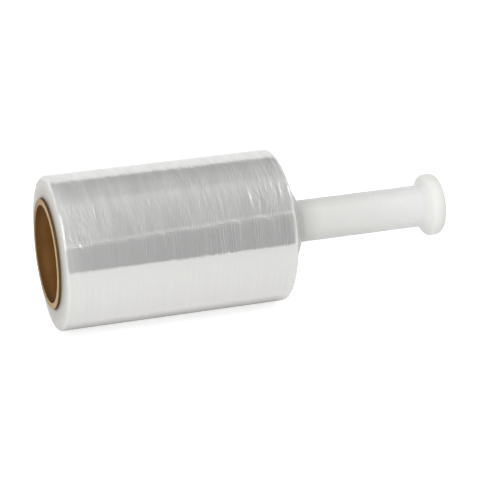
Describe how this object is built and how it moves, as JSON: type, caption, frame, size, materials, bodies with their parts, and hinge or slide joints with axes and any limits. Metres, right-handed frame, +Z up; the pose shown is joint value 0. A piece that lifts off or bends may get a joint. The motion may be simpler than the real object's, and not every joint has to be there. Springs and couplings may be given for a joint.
{
  "type": "stretch wrap roll",
  "caption": "Hand roll of clear stretch film wound on a paperboard core, which turns on the hub of a one-piece milky plastic handle with a conical shoulder and a rounded knob.",
  "frame": {"origin": "on the surface that the roll lies on, under the middle of the whole object", "axes": "+X along the roll towards the handle's knob, +Z up, and -Y towards the side that the picture shows"},
  "size_m": [0.2246, 0.084, 0.0834],
  "materials": {
    "film": "many turns of clear glossy film, silvery grey-white",
    "paperboard": "plain kraft paperboard, matte",
    "milky_plastic": "natural milky polyethylene, slightly translucent, satin"
  },
  "bodies": {
    "roll": {"film_roll": "film", "core_tube": "paperboard"},
    "handle": {"handle": "milky_plastic"}
  },
  "joints": [
    {"name": "handle_spin", "type": "hinge", "parent": "roll", "child": "handle", "pos_m": [0.01835, 0, 0.04147], "axis": [1, 0, 0], "continuous": true}
  ]
}
